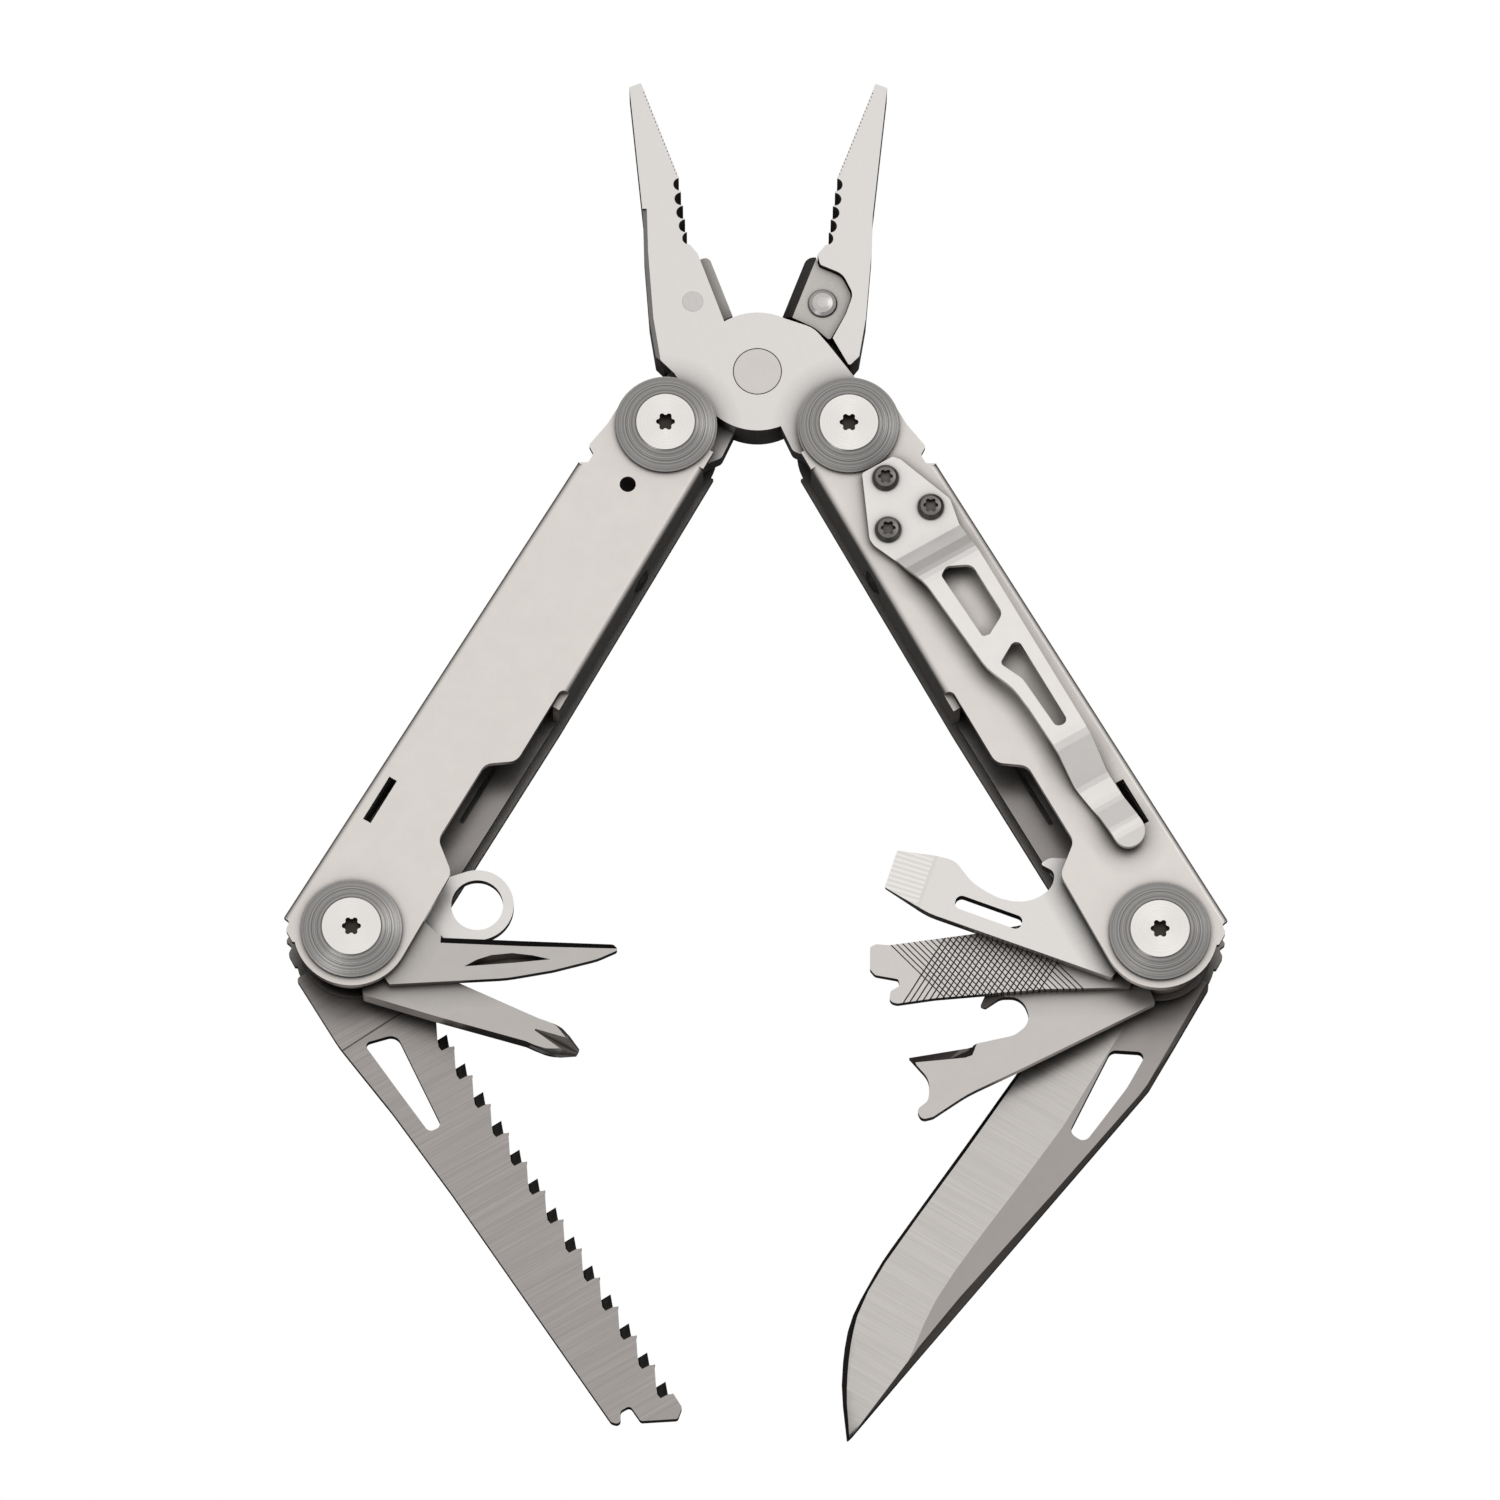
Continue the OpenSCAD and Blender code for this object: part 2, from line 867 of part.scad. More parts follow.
module saw_blade() {
    color("darkgray")
        left_tool_place(saw_angle)
            difference() {
                tool_blank(saw_z, [
                    [0, -9.6, 0.5], [12, -9.3, 20], [25, -7.5, 20], [40, -6.1, 20], [81.2, -3.2, 0.8],
                    [82.2, -2.2, 0.6], [80.4, -1.2, 0.6], [80.4, 0.4, 0.6], [83.2, 0.6, 0.5],
                    [85.6, 5.4, 0.5], [84.4, 6.8, 0.5], [81, 6.7, 0], [18, 5.2, 0], [13, 6.5, 0],
                    [4, 6, 0], [0, 0, 0]
                ]);
                slab([saw_z[0] - 1, saw_z[1] + 1])
                    polygon(rounded([
                        [13.5, -6, 0.7], [14.7, -1.1, 1.6], [30.2, -2.3, 0.9], [30, -4.4, 0.9],
                        [22, -5.2, 10]
                    ]));
                slab([saw_z[1] - score_depth, saw_z[1] + 1])
                    polygon(score);
                for (i = [0:saw_gaps - 1])
                    translate(saw_first + saw_pitch * i * [1, saw_rise]) {
                        slab([saw_z[0] - 1, saw_z[1] + 1])
                            polygon(saw_gap);
                        slab([saw_z[1] - short_tooth_drop, saw_z[1] + 1])
                            polygon(short_tooth);
                    }
            }
}

module flat_driver() {
    color("silver")
        right_tool_place(flat_angle)
            difference() {
                tool_blank(flat_z, [
                    [4.5, -8.1, 0.5], [33, -7.7, 10], [40.4, -5.9, 0.3], [40.5, 0, 0.3], [35.2, 0.9, 2],
                    [32, 1.2, 3], [28.5, -1.2, 6], [24, -2.3, 8], [19, -1.3, 6], [17.2, 2.2, 3],
                    [17.6, 4.4, 1.2], [20.1, 4.8, 0.3], [19, 6.2, 1.5], [16.5, 6.9, 1.5], [10, 5, 3],
                    [0, tang_r, 0], [0, 0, 0], [4, -5, 0]
                ]);
                slab([flat_z[0] - 1, flat_z[1] + 1])
                    polygon(rounded([
                        [19.6, -5.8, 0.95], [19.6, -3.7, 0.95], [29.9, -3.5, 0.95], [29.9, -5.6, 0.95]
                    ]));
                // the driver's end is ground down on both faces
                for (side = [0, 1])
                    translate([34.5, -12, side == 0 ? flat_z[1] : flat_z[0]])
                        mirror([0, 0, side])
                            rotate([0, 6, 0])
                                cube([10, 20, 2]);
            }
}

module file() {
    color("darkgray")
        right_tool_place(file_angle)
            tool_blank(file_z, [
                [4.4, -6.9, 0.3], [17, -6.9, 20], [33, -8, 20], [38.4, -8.7, 0.9], [39.6, -8.4, 0.8],
                [39.4, -6.8, 0.6], [38, -6, 0.5], [38.2, -5, 0.4], [41.6, -4.3, 0.8], [42.3, -3.4, 0.4],
                [42.2, 0, 0.3], [41.3, 0.4, 0.3], [39.4, 0.2, 0], [26, 1.8, 0], [14, 4, 10],
                [0, tang_r, 0], [0, 0, 0], [4, -5, 0]
            ]);
}

module can_opener() {
    color("silver")
        right_tool_place(can_angle)
            tool_blank(can_z, [
                [4.2, -7.9, 0.4], [26, -8.7, 0], [35, -8.9, 20], [41, -9.9, 0.5], [42.8, -9.6, 0.9],
                [42.7, -7.9, 0.8], [40.6, -7.4, 1.5], [39.1, -4.6, 3], [40.4, -0.1, 0.1],
                [31.2, -2.6, 0.3], [30.6, -2.5, 0.3], [25, -3.7, 3], [21.8, -2.9, 2.5],
                [21.6, 1.2, 2.5], [24.4, 2.4, 2], [27, 2, 0.3], [27.6, 2.6, 0.3], [26.2, 3.8, 0.6],
                [18, 4.6, 10], [8, 5.4, 4], [0, tang_r, 0], [0, 0, 0], [4, -5, 0]
            ]);
}

knife_outline = [
    [0.2, -9.1, 0.8], [18.5, -9.75, 2], [86.8, 0, 0.1], [80, 5.3, 30], [71.5, 9.3, 20],
    [61, 9.9, 40], [40, 8.7, 60], [22, 7.8, 10], [10, 7, 4], [0, tang_r, 0], [0, 0, 0]
];
knife_hole = [
    [13.8, -6.6, 0.9], [16.3, -1.9, 1.2], [30.2, -3.2, 1.2], [30.4, -6, 1.2], [20, -6.9, 10]
];

module knife_blade() {
    color("darkgray")
        right_tool_place(knife_angle)
            difference() {
                tool_blank(knife_z, knife_outline);
                slab([knife_z[0] - 1, knife_z[1] + 1])
                    polygon(rounded(knife_hole));
            }
}

front_jaw();
back_jaw();
jaw_rivet();
left_cutter();
left_cutter_screw();
right_cutter();
right_cutter_screw();
left_front_shell();
left_back_shell();
left_liner();
left_leaf_spring();
left_spring_rivet();
left_upper_axle();
left_upper_bolt();
left_upper_washer();
left_lower_axle();
left_lower_bolt();
left_low_washer();
right_front_shell();
right_back_shell();
right_liner();
right_leaf_spring();
right_spring_rivet();
right_upper_axle();
right_upper_bolt();
right_upper_washer();
right_lower_axle();
right_lower_bolt();
right_low_washers();
pocket_clip();
clip_screws();
awl();
lanyard_ring();
phillips_driver();
saw_blade();
flat_driver();
file();
can_opener();
knife_blade();
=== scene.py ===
"""Looks for the folding multi tool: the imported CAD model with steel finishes, and the ground
tools redrawn with their bevels. Named lengths are in millimetres and angles in degrees, but the
camera, floor and lights are placed in metres."""
import math

import bmesh
import bpy
from mathutils import Matrix, Vector


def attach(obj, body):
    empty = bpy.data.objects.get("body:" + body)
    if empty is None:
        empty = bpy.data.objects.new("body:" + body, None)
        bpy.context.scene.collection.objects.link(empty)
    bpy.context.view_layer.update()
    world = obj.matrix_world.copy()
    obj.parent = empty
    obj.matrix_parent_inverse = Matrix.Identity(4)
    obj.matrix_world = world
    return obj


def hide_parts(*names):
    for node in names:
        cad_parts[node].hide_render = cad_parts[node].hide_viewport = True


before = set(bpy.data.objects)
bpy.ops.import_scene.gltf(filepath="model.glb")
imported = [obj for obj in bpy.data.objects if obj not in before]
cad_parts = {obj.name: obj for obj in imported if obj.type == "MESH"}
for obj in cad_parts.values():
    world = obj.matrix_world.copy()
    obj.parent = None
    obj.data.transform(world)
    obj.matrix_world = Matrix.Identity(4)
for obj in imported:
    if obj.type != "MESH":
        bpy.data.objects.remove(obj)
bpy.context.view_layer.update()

MM = 0.001
JAW_OPEN = 20.9
TANG_BEND = 54.3
TANG_REACH = 16.2
EYE_ANGLE = JAW_OPEN - TANG_BEND
HANDLE_SPAN = 90
HANDLE_ANGLE = 59.7
HANDLE_SPLAY = 30.3
SPLAY = math.radians(HANDLE_SPLAY)
# The left handle's upper and lower joints; the right handle's mirror them
TOP = (
    -TANG_REACH * math.cos(math.radians(EYE_ANGLE)),
    TANG_REACH * math.sin(math.radians(EYE_ANGLE)),
)
LOW = (TOP[0] - HANDLE_SPAN * math.sin(SPLAY), TOP[1] - HANDLE_SPAN * math.cos(SPLAY))

ARC_STEP = 7.5
CORNER_STEP = 10
SHARP_ANGLE = 22
AXLE_R = 3.05
AXLE_SIDES = 48
TANG_R = 7.2
SAME_PLACE = 1e-4


# ---- node graphs ----------------------------------------------------------------------------

WARM = (0.84, 0.80, 0.765)
COOL = (0.84, 0.82, 0.80)
# Painted shade: the near-black that every metal is darkened towards in corners and between parts
CORNER_SHADE = (0.05, 0.045, 0.04, 1)
CORNER_SHADE_REACH = 4
CORNER_SHADE_POWER = 2.2
# Painted shade in the file's cuts
GROOVE_SHADE = (0.012, 0.011, 0.011, 1)
GROOVE_ROUGH = 0.7
RING_FREQUENCY = 4.5


class Graph:
    """A material's node tree, with one short call for each node."""

    def __init__(self, name):
        self.material = bpy.data.materials.new(name)
        self.material.use_nodes = True
        self.tree = self.material.node_tree
        self.tree.nodes.clear()

    def add(self, kind, inputs=None, **settings):
        node = self.tree.nodes.new(kind)
        for key, value in settings.items():
            setattr(node, key, value)
        for key, value in (inputs or {}).items():
            if isinstance(value, bpy.types.NodeSocket):
                self.tree.links.new(value, node.inputs[key])
            else:
                node.inputs[key].default_value = value
        return node

    def math(self, operation, first, second=0.0, third=0.0):
        node = self.add("ShaderNodeMath", {0: first, 1: second, 2: third}, operation=operation)
        return node.outputs[0]

    def local(self, place=(0, 0, 0), mirror=False):
        """Coordinates from a local frame at place = (x mm, y mm, degrees)."""
        coordinates = self.add("ShaderNodeTexCoord")
        mapping = self.add("ShaderNodeMapping", vector_type="TEXTURE", inputs={
            "Vector": coordinates.outputs["Object"],
            "Location": (place[0] * MM, place[1] * MM, 0),
            "Rotation": (0, 0, math.radians(place[2])),
            "Scale": (MM, -MM if mirror else MM, MM),
        })
        return mapping.outputs[0]

    def stretched(self, vector, scale):
        mapping = self.add("ShaderNodeMapping", {"Vector": vector, "Scale": scale})
        return mapping.outputs[0]

    def noise(self, vector, scale=1.0, detail=3.0, roughness=0.6):
        node = self.add("ShaderNodeTexNoise", {
            "Vector": vector, "Scale": scale, "Detail": detail, "Roughness": roughness
        })
        return node.outputs[0]

    def span(self, value, low, high):
        """value from 0..1 to low..high."""
        node = self.add("ShaderNodeMapRange", {"Value": value, "To Min": low, "To Max": high})
        return node.outputs[0]

    def mix(self, factor, first, second):
        node = self.add("ShaderNodeMix", data_type="RGBA", inputs={0: factor})
        for index, value in ((6, first), (7, second)):
            if isinstance(value, bpy.types.NodeSocket):
                self.tree.links.new(value, node.inputs[index])
            else:
                node.inputs[index].default_value = value
        return node.outputs[2]

    def facing_up(self):
        """1 where the surface looks along +Z, and -1 where it looks along -Z."""
        normal = self.add("ShaderNodeTexCoord").outputs["Normal"]
        return self.add("ShaderNodeSeparateXYZ", {"Vector": normal}).outputs[2]

    def bump(self, height, strength, distance=0.05):
        node = self.add("ShaderNodeBump", {
            "Height": height, "Strength": strength, "Distance": distance * MM
        })
        return node.outputs[0]

    def metal(self, color, rough, normal, **more):
        """Ends the tree in bare metal, with painted shade that darkens it in its corners and between
        parts.
        """
        # Painted shade: ambient occlusion darkens the colour in corners and gaps, where shade falls
        open_side = self.add("ShaderNodeAmbientOcclusion", {"Distance": CORNER_SHADE_REACH * MM}, samples=6)
        corner_shade = self.math("POWER", open_side.outputs["AO"], CORNER_SHADE_POWER)
        color = self.mix(corner_shade, CORNER_SHADE, color)
        inputs = {"Base Color": color, "Roughness": rough, "Metallic": 1.0, "Normal": normal}
        shader = self.add("ShaderNodeBsdfPrincipled", {**inputs, **more})
        self.add("ShaderNodeOutputMaterial", {"Surface": shader.outputs[0]})
        return self.material


def shade(tone, gain=1.0):
    return (tone[0] * gain, tone[1] * gain, tone[2] * gain, 1)


def blasted(name, tone=WARM, rough=0.42, grain=0.35, inside=0, inner_shade_gain=0.4):
    """Bead-blasted sheet: an even fine grain with faint larger blotches. inside is 1 or -1 where
    the faces that look up or down are the inner ones, which are darkened as painted shade."""
    graph = Graph(name)
    vector = graph.local()
    fine = graph.noise(vector, 7.0, 2.0)
    broad = graph.noise(vector, 0.35, 2.0)
    color = graph.mix(graph.math("MULTIPLY_ADD", fine, 0.4, graph.math("MULTIPLY", broad, 0.6)),
                      shade(tone, 0.93), shade(tone, 1.07))
    if inside:
        # Painted shade: the inner faces, which lie in the gaps between the shells, are darkened
        inner = graph.math("GREATER_THAN", graph.math("MULTIPLY", graph.facing_up(), inside), 0.5)
        color = graph.mix(inner, color, shade(tone, inner_shade_gain))
    roughness = graph.span(fine, rough - 0.05, rough + 0.06)
    return graph.metal(color, roughness, graph.bump(fine, grain, 0.03))


def ground(name, place, mirror=False, tone=COOL, rough=0.36, lines=5.0, depth=0.5, contrast=0.2):
    """Ground steel: fine lines across the piece's own length."""
    graph = Graph(name)
    vector = graph.local(place, mirror)
    scale = (lines, 0.05, 0.05)
    fine = graph.noise(graph.stretched(vector, scale), 1.0, 4.0, 0.7)
    wide = graph.noise(graph.stretched(vector, tuple(value * 0.25 for value in scale)), 1.0, 2.0)
    grain = graph.math("MULTIPLY_ADD", fine, 0.7, graph.math("MULTIPLY", wide, 0.3))
    color = graph.mix(grain, shade(tone, 1 - contrast), shade(tone, 1 + contrast))
    roughness = graph.span(grain, rough - 0.06, rough + 0.08)
    return graph.metal(color, roughness, graph.bump(grain, depth, 0.03))


def turned(name, place, tone=COOL, rough=0.22, depth=0.35):
    """Turned steel: concentric lines about the piece's own axis, with painted shade wherever it slopes.
    """
    graph = Graph(name)
    vector = graph.local(place)
    parts = graph.add("ShaderNodeSeparateXYZ", {"Vector": vector})
    square = graph.math("MULTIPLY_ADD", parts.outputs[0], parts.outputs[0],
                        graph.math("MULTIPLY", parts.outputs[1], parts.outputs[1]))
    radius = graph.math("SQRT", square)
    rings = graph.add("ShaderNodeTexNoise", noise_dimensions="1D", inputs={
        "W": graph.math("MULTIPLY", radius, RING_FREQUENCY),
        "Scale": 1.0, "Detail": 4.0, "Roughness": 0.7
    }).outputs[0]
    disc = graph.mix(rings, shade(tone, 0.95), shade(tone, 1.15))
    # Painted shade: the sloping rim is darkened well below the lighter flat top
    shaded_rim = graph.mix(graph.span(rings, -0.9, 1.9), shade(tone, 0.2), shade(tone, 0.8))
    flat = graph.math("GREATER_THAN", graph.facing_up(), 0.99)
    color = graph.mix(flat, shaded_rim, disc)
    roughness = graph.span(rings, rough - 0.04, rough + 0.08)
    tangent = graph.add("ShaderNodeTangent", direction_type="RADIAL", axis="Z").outputs[0]
    return graph.metal(color, roughness, graph.bump(rings, depth, 0.03), Anisotropic=0.7, Tangent=tangent)


def plain_steel(name, tone, rough):
    """Steel with a faint uneven tone, for walls, fasteners and springs."""
    graph = Graph(name)
    grain = graph.noise(graph.local(), 2.5, 4.0)
    color = graph.mix(grain, shade(tone, 0.88), shade(tone, 1.1))
    roughness = graph.span(grain, rough - 0.04, rough + 0.05)
    return graph.metal(color, roughness, graph.bump(grain, 0.12, 0.02))


def grooved(name, place, mirror, families, tone=COOL, rough=0.34):
    """Steel with straight cuts, painted near-black as shade in the grooves. A family is (slope, first,
    last, pitch, width, darkness): the cuts cross y = 0 between first and last."""
    graph = Graph(name)
    vector = graph.local(place, mirror)
    parts = graph.add("ShaderNodeSeparateXYZ", {"Vector": vector})
    x, y = parts.outputs[0], parts.outputs[1]
    wobble = graph.math("MULTIPLY_ADD", graph.noise(vector, 0.8), 0.12, -0.06)
    cuts = None
    for slope, first, last, pitch, width, darkness in families:
        crossing = graph.math("ADD", graph.math("MULTIPLY_ADD", y, -1 / slope, x), wobble)
        beyond = graph.math("SUBTRACT", crossing, first)
        phase = graph.math("FRACT", graph.math("DIVIDE", beyond, pitch))
        near = graph.math("ABSOLUTE", graph.math("SUBTRACT", phase, 0.5))
        soft = graph.add("ShaderNodeMapRange", {
            "Value": near, "From Min": width / pitch * 0.3, "From Max": width / pitch * 0.75,
            "To Min": darkness, "To Max": 0.0
        }).outputs[0]
        inside = graph.math("MULTIPLY", graph.math("GREATER_THAN", crossing, first),
                            graph.math("LESS_THAN", crossing, last))
        cut = graph.math("MULTIPLY", soft, inside)
        cuts = cut if cuts is None else graph.math("MAXIMUM", cuts, cut)
    grain = graph.noise(vector, 6.0, 3.0)
    base = graph.mix(grain, shade(tone, 0.88), shade(tone, 1.08))
    # Painted shade: the cuts are darkened towards near-black
    color = graph.mix(cuts, base, GROOVE_SHADE)
    height = graph.math("MULTIPLY_ADD", grain, 0.15, graph.math("SUBTRACT", 1.0, cuts))
    return graph.metal(color, graph.span(cuts, rough, GROOVE_ROUGH), graph.bump(height, 0.7, 0.12))


def ribbed(name, place, mirror, start, pitch, tone=COOL, rough=0.38):
    """Satin steel whose far end, beyond start, has ribs along its length, lightened as painted highlights
    on the rib crests.
    """
    graph = Graph(name)
    vector = graph.local(place, mirror)
    parts = graph.add("ShaderNodeSeparateXYZ", {"Vector": vector})
    end = graph.math("GREATER_THAN", parts.outputs[0], start)
    wave = graph.math("SINE", graph.math("MULTIPLY", parts.outputs[1], 2 * math.pi / pitch))
    ribs = graph.math("MULTIPLY", graph.math("MULTIPLY_ADD", wave, 0.5, 0.5), end)
    grain = graph.noise(vector, 7.0, 2.0)
    base = graph.mix(grain, shade(tone, 0.93), shade(tone, 1.07))
    # Painted highlight: the ribbed end is lightened, most on the rib crests
    rib_highlight = graph.math("MULTIPLY", end, graph.span(ribs, 0.15, 0.9))
    color = graph.mix(rib_highlight, base, shade(tone, 1.25))
    height = graph.math("MULTIPLY_ADD", grain, 0.2, ribs)
    roughness = graph.span(grain, rough - 0.04, rough + 0.05)
    return graph.metal(color, roughness, graph.bump(height, 0.35, 0.1))


# ---- placing --------------------------------------------------------------------------------

def place_of(side, angle, reach=0.0):
    """(x mm, y mm, degrees) of a frame on a lower joint, its x axis at angle in the left layout."""
    turn = math.radians(angle)
    x = LOW[0] + reach * math.cos(turn)
    y = LOW[1] + reach * math.sin(turn)
    return (x, y, angle) if side == "left" else (-x, y, 180 - angle)


def paint(node, material):
    """Gives a CAD node its material; its shape is left alone."""
    mesh_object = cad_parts[node]
    for entry in mesh_object.material_slots:
        entry.link = "OBJECT"
        entry.material = material
    return mesh_object


def soften(mesh_object, width, angle=35, segments=2):
    """Breaks the sharp edges of a piece."""
    bevel = mesh_object.modifiers.new("edges", "BEVEL")
    bevel.width = width * MM
    bevel.segments = segments
    bevel.limit_method = "ANGLE"
    bevel.angle_limit = math.radians(angle)
    bevel.harden_normals = True
    bevel.use_clamp_overlap = True


# ---- sheets cut from outlines -----------------------------------------------------------------

def arc(radius, start, end):
    """Points [x, y, 0] round the origin between start and end, in degrees, without those two."""
    count = max(1, round(abs(end - start) / ARC_STEP))
    turns = [math.radians(start + (end - start) * i / count) for i in range(1, count)]
    return [[radius * math.cos(turn), radius * math.sin(turn), 0] for turn in turns]


def rounded(path):
    """Outline through the points [x, y, corner radius]."""
    flat = [Vector(point[:2]) for point in path]
    outline = []
    for i, (_, _, radius) in enumerate(path):
        here = flat[i]
        if radius == 0:
            outline.append(here)
            continue
        before = (flat[i - 1] - here).normalized()
        after = (flat[(i + 1) % len(flat)] - here).normalized()
        half = math.acos(max(-1, min(1, before.dot(after)))) / 2
        centre = here + (before + after).normalized() * radius / math.sin(half)
        first = here + before * radius / math.tan(half) - centre
        last = here + after * radius / math.tan(half) - centre
        start = math.atan2(first.y, first.x)
        sweep = (math.atan2(last.y, last.x) - start + 3 * math.pi) % (2 * math.pi) - math.pi
        steps = max(2, math.ceil(abs(sweep) / math.radians(CORNER_STEP)))
        for k in range(steps + 1):
            turn = start + sweep * k / steps
            outline.append(centre + radius * Vector((math.cos(turn), math.sin(turn))))
    return outline


def along(path, x):
    """Height of a path that runs towards +X, at x."""
    if x <= path[0][0]:
        return path[0][1]
    for (x0, y0), (x1, y1) in zip(path, path[1:]):
        if x <= x1:
            return y0 + (y1 - y0) * (x - x0) / (x1 - x0)
    return path[-1][1]


def bisect(sheet, faces, point, normal):
    """Cuts some of a sheet's faces along the line through point, across normal."""
    parts = set(faces)
    for face in faces:
        parts.update(face.edges)
        parts.update(face.verts)
    bmesh.ops.bisect_plane(
        sheet, geom=list(parts), dist=1e-5, plane_co=(*point, 0), plane_no=(*normal, 0)
    )


def filled_sheet(loops, paths):
    """Fills an outline and its holes, and cuts the sheet along paths that run towards +X."""
    sheet = bmesh.new()
    edges = []
    for loop in loops:
        corners = [sheet.verts.new((point[0], point[1], 0)) for point in loop]
        edges += [sheet.edges.new((corners[i - 1], corners[i])) for i in range(len(corners))]
    bmesh.ops.triangle_fill(sheet, edges=edges, use_beauty=True)
    for path in paths:
        for point in path:
            bisect(sheet, sheet.faces[:], point, (1, 0))
        for (x0, y0), (x1, y1) in zip(path, path[1:]):
            strip = [face for face in sheet.faces if x0 < face.calc_center_median().x < x1]
            bisect(sheet, strip, (x0, y0), (y0 - y1, x1 - x0))
    bmesh.ops.triangulate(sheet, faces=sheet.faces[:])
    return sheet


def ground_plate(name, side, angle, z, loops, paths, drop, finish_at, finishes, both_faces=True):
    """A plate on a lower joint, between the levels z. drop(x, y) is how far its front face is ground
    down there, and its rear face too with both_faces. finish_at(x, y) is the number of its finish in
    finishes; the walls take the first one."""
    sheet = filled_sheet(loops, paths)
    flip = -1 if side == "right" else 1
    corners = [vert.co.copy() for vert in sheet.verts]
    sheet.verts.index_update()
    count = len(corners)
    drops = [drop(co.x, co.y) for co in corners]
    rear_drops = drops if both_faces else [0] * count
    points = [(co.x * MM, co.y * flip * MM, (z[1] - down) * MM) for co, down in zip(corners, drops)]
    points += [(co.x * MM, co.y * flip * MM, (z[0] + up) * MM) for co, up in zip(corners, rear_drops)]
    faces = []
    kinds = []
    for face in sheet.faces:
        ring = [vert.index for vert in face.verts]
        middle = face.calc_center_median()
        faces += [ring, [count + index for index in reversed(ring)]]
        kinds += [finish_at(middle.x, middle.y)] * 2
    for edge in sheet.edges:
        if len(edge.link_faces) == 1:
            a, b = (vert.index for vert in edge.verts)
            faces.append([a, b, count + b, count + a])
            kinds.append(0)
    sheet.free()
    mesh = bpy.data.meshes.new(name)
    mesh.from_pydata(points, [], faces)
    for polygon, kind in zip(mesh.polygons, kinds):
        polygon.material_index = kind
    solid = bmesh.new()
    solid.from_mesh(mesh)
    bmesh.ops.recalc_face_normals(solid, faces=solid.faces[:])
    solid.to_mesh(mesh)
    solid.free()
    return finish_piece(name, mesh, side, angle, finishes)


def link_piece(name, mesh):
    piece = bpy.data.objects.new(name, mesh)
    bpy.context.scene.collection.objects.link(piece)
    return piece


def finish_piece(name, mesh, side, angle, finishes):
    """Puts a mesh drawn in a tool's own frame on its joint."""
    for finish in finishes:
        mesh.materials.append(finish)
    mesh.shade_smooth()
    mesh.set_sharp_from_angle(angle=math.radians(SHARP_ANGLE))
    x, y, turn = place_of(side, angle)
    on_joint = Matrix.Translation((x * MM, y * MM, 0))
    mesh.transform(on_joint @ Matrix.Rotation(math.radians(turn), 4, "Z"))
    return link_piece(name, mesh)


# ---- paint the CAD nodes ----------------------------------------------------------------------

# Angles of the opened tools that are redrawn or have lines of their own
LEFT_TOOLS = {"awl": -3.4, "saw_blade": -59.7}
RIGHT_TOOLS = {"flat_driver": 19.2, "file": -1.3, "can_opener": -25.0, "knife_blade": -58.4}
DRIVER_RIBS_START = 35
DRIVER_RIB_PITCH = 0.75
# Each family of file cuts: slope, first and last crossing, pitch, width, darkness of the painted shade
FILE_CUTS = ((1.07, 17.3, 39.3, 0.92, 0.17, 0.95), (-1.54, 12.6, 32.3, 0.9, 0.17, 0.95))

# Shells whose inner faces get painted shade
SHELLS = {
    "front_shell": blasted("front_steel", inside=-1),
    "back_shell": blasted("back_steel", inside=1),
}
jaw_steel = ground("jaw_steel", (0, 0, 20), tone=COOL, rough=0.4, lines=6.0, depth=0.15, contrast=0.07)
cutter_steel = plain_steel("cutter_steel", (0.60, 0.58, 0.56), 0.3)
spring_steel = plain_steel("spring_steel", (0.62, 0.60, 0.58), 0.35)
liner_steel = plain_steel("liner_steel", (0.34, 0.32, 0.31), 0.3)
fastener_steel = plain_steel("fastener_steel", (0.66, 0.64, 0.63), 0.25)
clip_screw_steel = plain_steel("clip_screw_steel", (0.24, 0.23, 0.22), 0.3)
clip_steel = blasted("clip_steel", (0.88, 0.86, 0.84), 0.32, 0.15)

for side in ("left", "right"):
    for piece, finish in SHELLS.items():
        soften(paint(f"{side}_{piece}", finish), 0.6, segments=3)
    soften(paint(f"{side}_liner", liner_steel), 0.12)
    soften(paint(f"{side}_leaf_spring", spring_steel), 0.1)
    soften(paint(f"{side}_spring_rivet", fastener_steel), 0.1)
    soften(paint(f"{side}_cutter", cutter_steel), 0.08)
    soften(paint(f"{side}_cutter_screw", fastener_steel), 0.15)
    for level, reach in (("upper", HANDLE_SPAN), ("lower", 0)):
        spot = place_of(side, HANDLE_ANGLE, reach)
        bolt_steel = turned(f"{side}_{level}_turned", spot)
        axle_steel = turned(f"{side}_{level}_axle_turned", spot, (0.5, 0.48, 0.46), 0.3)
        soften(paint(f"{side}_{level}_bolt", bolt_steel), 0.08)
        paint(f"{side}_{level}_axle", axle_steel)
    paint(f"{side}_upper_washer", spring_steel)
paint("left_low_washer", spring_steel)
paint("right_low_washers", spring_steel)
soften(paint("front_jaw", jaw_steel), 0.15)
soften(paint("back_jaw", jaw_steel), 0.15)
soften(paint("jaw_rivet", blasted("rivet_steel", (0.75, 0.72, 0.69), 0.42)), 0.1)
soften(paint("pocket_clip", clip_steel), 0.12)
soften(paint("clip_screws", clip_screw_steel), 0.1)

TOOL_FINISHES = {
    "lanyard_ring": blasted("ring_steel", COOL, 0.34, 0.2),
    "phillips_driver": blasted("phillips_steel", (0.56, 0.535, 0.515), 0.36, 0.3),
    "saw_blade": ground("saw_ground", place_of("left", LEFT_TOOLS["saw_blade"]), tone=(0.42, 0.395, 0.38),
                        contrast=0.45),
    "flat_driver": ribbed("flat_steel", place_of("right", RIGHT_TOOLS["flat_driver"]), True,
                          DRIVER_RIBS_START, DRIVER_RIB_PITCH),
    "file": grooved("file_steel", place_of("right", RIGHT_TOOLS["file"]), True, FILE_CUTS,
                    (0.72, 0.69, 0.67)),
}
for node, finish in TOOL_FINISHES.items():
    soften(paint(node, finish), 0.15)
